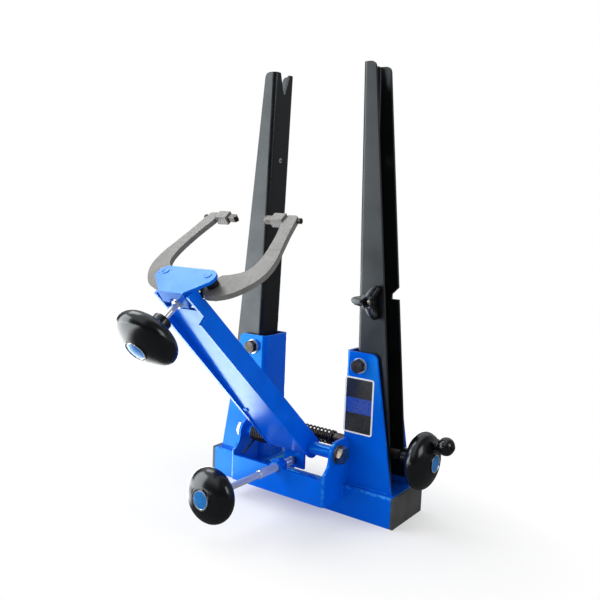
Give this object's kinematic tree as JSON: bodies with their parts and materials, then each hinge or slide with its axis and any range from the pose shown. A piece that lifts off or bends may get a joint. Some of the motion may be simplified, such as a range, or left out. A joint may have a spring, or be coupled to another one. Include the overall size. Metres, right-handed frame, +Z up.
{
  "type": "bicycle wheel truing stand",
  "caption": "Bench truing stand: two tilting notched uprights on a channel base, with a swinging arm that carries screw-set calipers.",
  "frame": {"origin": "middle of the underside of the base's front wall, on the bench", "axes": "+X to the right along the base, towards the knob with the spinner; +Y away from the user; +Z up"},
  "size_m": [0.2898, 0.2993, 0.46],
  "materials": {
    "blue_paint": "gloss powder coat",
    "black_paint": "satin powder coat",
    "black_plastic": "gloss",
    "chrome": "polished plating",
    "zinc_steel": "zinc plated",
    "dark_steel": "blackened",
    "caliper_steel": "grey plated",
    "label": "printed label, plain bands",
    "badge": "plain disc"
  },
  "bodies": {
    "frame": {"base_channel": "blue_paint", "arm_bracket": "blue_paint", "end_cap_left": "black_plastic", "end_cap_right": "black_plastic", "tower_left": "blue_paint", "tower_right": "blue_paint", "upright_washer_left": "chrome", "upright_washer_right": "chrome", "upright_bolt_left": "dark_steel", "upright_bolt_right": "dark_steel", "upright_nut_left": "dark_steel", "upright_nut_right": "dark_steel", "label_plate": "label", "hub_spring": "dark_steel", "arm_pivot_bolt": "zinc_steel", "arm_pivot_nut": "zinc_steel", "arm_washer_left": "zinc_steel", "arm_washer_right": "zinc_steel", "arm_spacer_left": "blue_paint", "arm_spacer_right": "blue_paint", "arm_spring": "dark_steel", "rod_nut": "blue_paint"},
    "left_upright": {"upright_left": "black_paint"},
    "right_upright": {"upright_right": "black_paint", "thumb_nut": "zinc_steel"},
    "left_trunnion": {"trunnion_left": "dark_steel"},
    "right_trunnion": {"trunnion_right": "dark_steel"},
    "spindle": {"spindle": "dark_steel", "spindle_knob": "black_plastic", "spindle_badge": "badge", "spinner_pin": "dark_steel"},
    "spinner": {"spinner_handle": "black_plastic"},
    "thumb_screw": {"thumb_knob": "black_plastic", "thumb_stud": "zinc_steel"},
    "arm": {"caliper_arm": "blue_paint", "head_plate": "blue_paint", "head_lower_plate": "black_paint", "screw_block": "blue_paint", "caliper_pin_left": "dark_steel", "caliper_pin_right": "dark_steel", "caliper_sleeve_left": "dark_steel", "caliper_sleeve_right": "dark_steel"},
    "rod_pad": {"rod_tip": "zinc_steel"},
    "rod": {"adjusting_rod": "chrome", "rod_knob": "black_plastic", "rod_badge": "badge"},
    "left_caliper": {"caliper_left": "caliper_steel", "caliper_tip_left": "caliper_steel", "feeler_left": "dark_steel", "tip_screw_left": "dark_steel"},
    "right_caliper": {"caliper_right": "caliper_steel", "caliper_tip_right": "caliper_steel", "feeler_right": "dark_steel", "tip_screw_right": "dark_steel"},
    "crosshead": {"crosshead": "zinc_steel"},
    "caliper_screw": {"caliper_screw": "chrome", "screw_ring": "dark_steel", "caliper_knob": "black_plastic", "caliper_badge": "badge"}
  },
  "joints": [
    {"name": "upright_left_tilt", "type": "hinge", "parent": "frame", "child": "left_upright", "pos_m": [-0.0707, 0.0276, 0.158], "axis": [0, -1, 0], "range_deg": [-3.5, 4.5], "deforming": ["hub_spring"]},
    {"name": "upright_right_tilt", "type": "hinge", "parent": "frame", "child": "right_upright", "pos_m": [0.0707, 0.0276, 0.158], "axis": [0, 1, 0], "range_deg": [-3.5, 4.5]},
    {"name": "trunnion_left_swivel", "type": "hinge", "parent": "left_upright", "child": "left_trunnion", "pos_m": [-0.06766, 0.0276, 0.068], "axis": [0, 1, 0], "range_deg": [-3.6, 4.6]},
    {"name": "trunnion_right_swivel", "type": "hinge", "parent": "right_upright", "child": "right_trunnion", "pos_m": [0.06766, 0.0276, 0.068], "axis": [0, -1, 0], "range_deg": [-3.6, 4.6]},
    {"name": "spindle_spin", "type": "hinge", "parent": "frame", "child": "spindle", "pos_m": [0, 0.0276, 0.068], "axis": [1, 0, 0], "range_deg": [-1000, 1300]},
    {"name": "spinner_spin", "type": "hinge", "parent": "spindle", "child": "spinner", "pos_m": [0.15, 0.0276, 0.088], "axis": [1, 0, 0], "continuous": true},
    {"name": "thumb_screw_turn", "type": "hinge", "parent": "right_upright", "child": "thumb_screw", "pos_m": [0.077, 0.0104, 0.224], "axis": [0, 1, 0], "range_deg": [-720, 90]},
    {"name": "arm_swing", "type": "hinge", "parent": "frame", "child": "arm", "pos_m": [0, -0.0121, 0.0671], "axis": [1, 0, 0], "range_deg": [-18, 18], "deforming": ["arm_spring"]},
    {"name": "rod_travel", "type": "slide", "parent": "frame", "child": "rod_pad", "axis": [0, 1, 0], "range_m": [-0.0072, 0.0072]},
    {"name": "rod_spin", "type": "hinge", "parent": "rod_pad", "child": "rod", "pos_m": [0, -0.0371, 0.0449], "axis": [0, 1, 0], "range_deg": [-1700, 1700]},
    {"name": "caliper_right_swing", "type": "hinge", "parent": "arm", "child": "right_caliper", "pos_m": [0.025, -0.16335, 0.24353], "axis": [0, -0.6157, 0.788], "range_deg": [-14, 9.5]},
    {"name": "caliper_left_swing", "type": "hinge", "parent": "arm", "child": "left_caliper", "pos_m": [-0.025, -0.16335, 0.24353], "axis": [0, 0.6157, -0.788], "range_deg": [-14.1, 9.6]},
    {"name": "crosshead_travel", "type": "slide", "parent": "arm", "child": "crosshead", "axis": [0, 0.788, 0.6157], "range_m": [-0.0027, 0.0039]},
    {"name": "caliper_screw_spin", "type": "hinge", "parent": "arm", "child": "caliper_screw", "pos_m": [0, -0.16019, 0.246], "axis": [0, 0.788, 0.6157], "range_deg": [-1150, 780]}
  ],
  "couplings": [
    {"joint": "upright_right_tilt", "follows": "upright_left_tilt", "ratio": 1},
    {"joint": "trunnion_left_swivel", "follows": "upright_left_tilt", "ratio": 1},
    {"joint": "trunnion_right_swivel", "follows": "upright_left_tilt", "ratio": 1},
    {"joint": "spindle_spin", "follows": "upright_left_tilt", "ratio": 282.7},
    {"joint": "rod_travel", "follows": "arm_swing", "m_per_rad": 0.0222},
    {"joint": "rod_spin", "follows": "arm_swing", "ratio": 92.99},
    {"joint": "caliper_left_swing", "follows": "caliper_right_swing", "ratio": 1},
    {"joint": "crosshead_travel", "follows": "caliper_right_swing", "m_per_rad": -0.0158},
    {"joint": "caliper_screw_spin", "follows": "caliper_right_swing", "ratio": 79.42}
  ]
}
